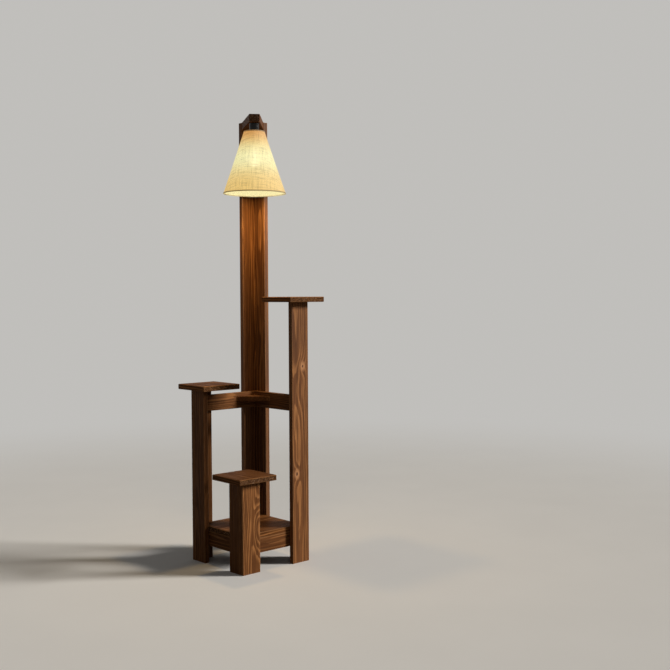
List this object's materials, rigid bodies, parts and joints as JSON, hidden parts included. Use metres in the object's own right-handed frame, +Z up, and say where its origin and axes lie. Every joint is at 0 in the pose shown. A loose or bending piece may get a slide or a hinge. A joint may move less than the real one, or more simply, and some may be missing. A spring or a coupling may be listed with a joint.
{
  "type": "floor lamp",
  "caption": "Wooden floor lamp with stepped square shelves on its posts, a low platform and a linen cone shade hung from a wooden arm.",
  "frame": {"origin": "on the floor at the centre of the square footprint", "axes": "+Z up; -Y is the front; the low post stands at -X -Y, the middle post at -X +Y, the high post at +X -Y and the lamp post at +X +Y"},
  "size_m": [0.368, 0.368, 1.535],
  "materials": {
    "pine": "walnut-stained softwood, satin",
    "beech_dowel": "plain beech",
    "zinc_steel": "zinc plated",
    "black_plastic": "gloss",
    "insulator": "matt",
    "brass_sheet": "bright",
    "linen": "open plain weave",
    "white_wire": "white enamel",
    "opal_glass": "opal",
    "white_plastic": "satin",
    "bright_shell": "bright"
  },
  "bodies": {
    "frame": {"low_post_face_plank": "pine", "low_post_side_plank": "pine", "mid_post_face_plank": "pine", "mid_post_side_plank": "pine", "high_post_face_plank": "pine", "high_post_side_plank": "pine", "lamp_post_face_plank": "pine", "lamp_post_side_plank": "pine", "low_shelf": "pine", "mid_shelf": "pine", "high_shelf": "pine", "front_apron": "pine", "back_apron": "pine", "left_apron": "pine", "right_apron": "pine", "platform_board": "pine", "back_brace": "pine", "right_brace": "pine", "corner_gusset": "pine", "lamp_arm": "pine", "plank_dowels": "beech_dowel", "shelf_dowels": "beech_dowel", "platform_dowels": "beech_dowel", "brace_dowels": "beech_dowel", "gusset_dowels": "beech_dowel", "apron_screws": "zinc_steel", "arm_screws": "zinc_steel", "hollow_nipple": "zinc_steel", "nipple_washer": "zinc_steel", "nipple_nut": "zinc_steel", "lampholder_cap": "black_plastic", "lampholder_body": "black_plastic", "lampholder_insert": "insulator", "screw_shell": "brass_sheet", "centre_contact": "brass_sheet"},
    "shade": {"shade_fabric": "linen", "shade_top_frame": "white_wire", "shade_bottom_wire": "white_wire"},
    "ring": {"shade_ring": "black_plastic"},
    "bulb": {"bulb_globe": "opal_glass", "bulb_collar": "white_plastic", "bulb_cap": "bright_shell", "bulb_contact": "brass_sheet"}
  },
  "joints": [
    {"name": "shade_drop", "type": "slide", "parent": "frame", "child": "shade", "axis": [0, 0, -1], "range_m": [0, 0.02916]},
    {"name": "ring_turn", "type": "hinge", "parent": "shade", "child": "ring", "pos_m": [0.01564, -0.01682, 1.467], "axis": [0, 0, -1], "range_deg": [0, 4200]},
    {"name": "bulb_draw", "type": "slide", "parent": "frame", "child": "bulb", "axis": [0, 0, -1], "range_m": [0, 0.028]}
  ],
  "couplings": [
    {"joint": "ring_turn", "follows": "shade_drop", "rad_per_m": 2513.3}
  ]
}
